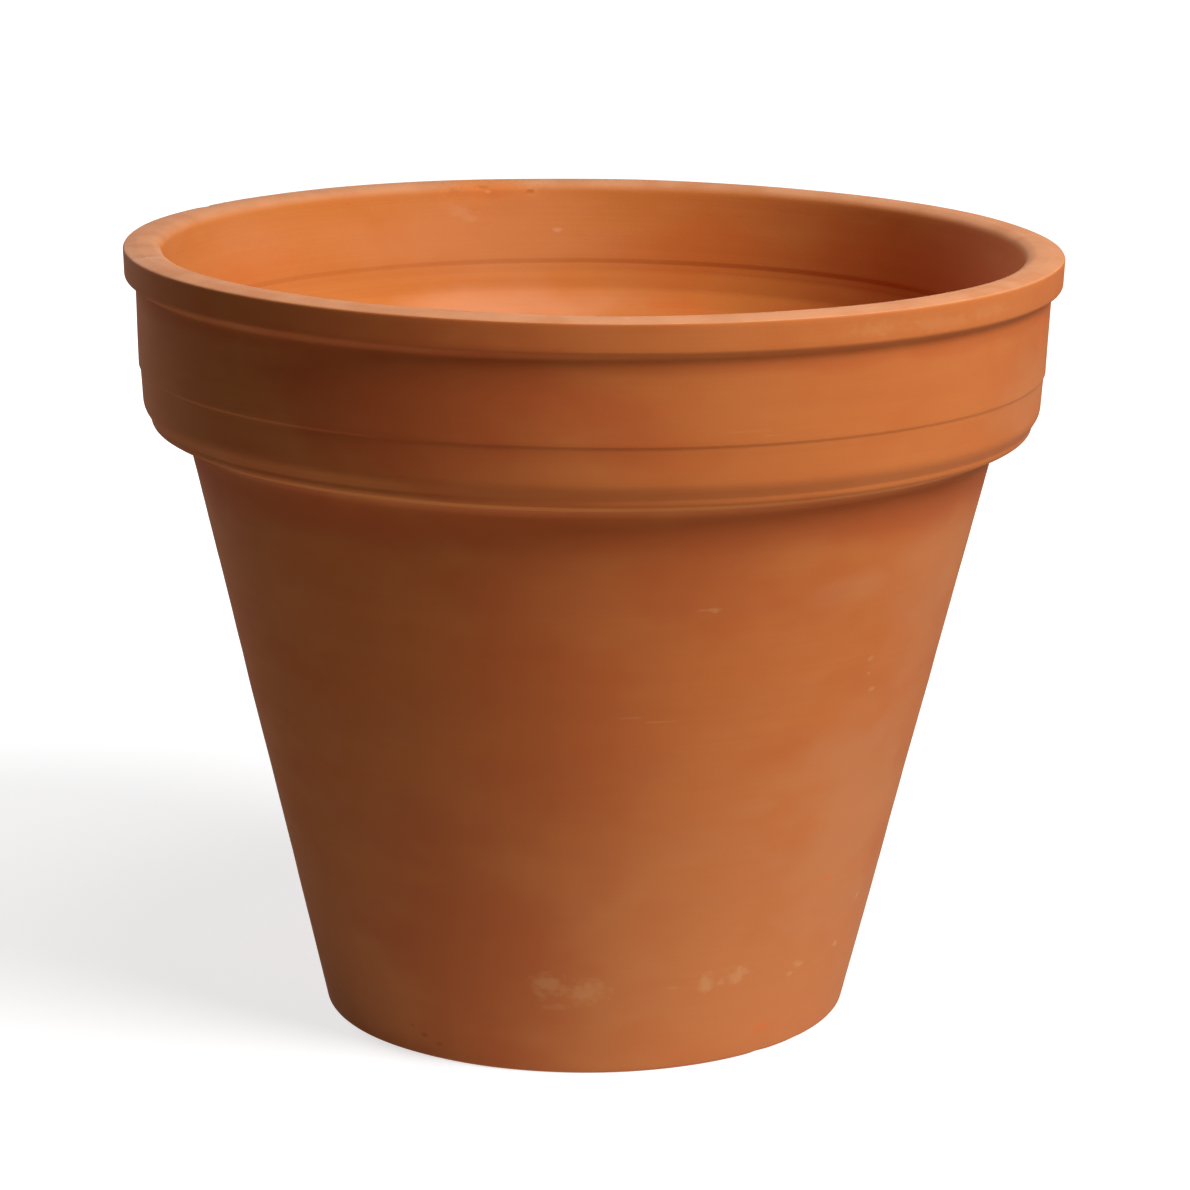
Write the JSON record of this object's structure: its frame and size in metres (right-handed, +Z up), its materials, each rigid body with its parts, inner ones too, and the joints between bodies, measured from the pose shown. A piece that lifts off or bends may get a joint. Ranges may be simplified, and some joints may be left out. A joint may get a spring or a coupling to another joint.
{
  "type": "flower pot",
  "caption": "Round tapered clay flower pot with a deep grooved collar, a projecting lip, an open mouth and a drain hole in the floor.",
  "frame": {"origin": "centre of the foot, on the surface that the pot stands on", "axes": "+Z up along the pot's axis, which is its axis of symmetry; X and Y are interchangeable"},
  "size_m": [0.2699, 0.27, 0.2255],
  "materials": {
    "terracotta": "matte, unglazed fired clay"
  },
  "bodies": {
    "root": {"pot": "terracotta"}
  },
  "joints": []
}
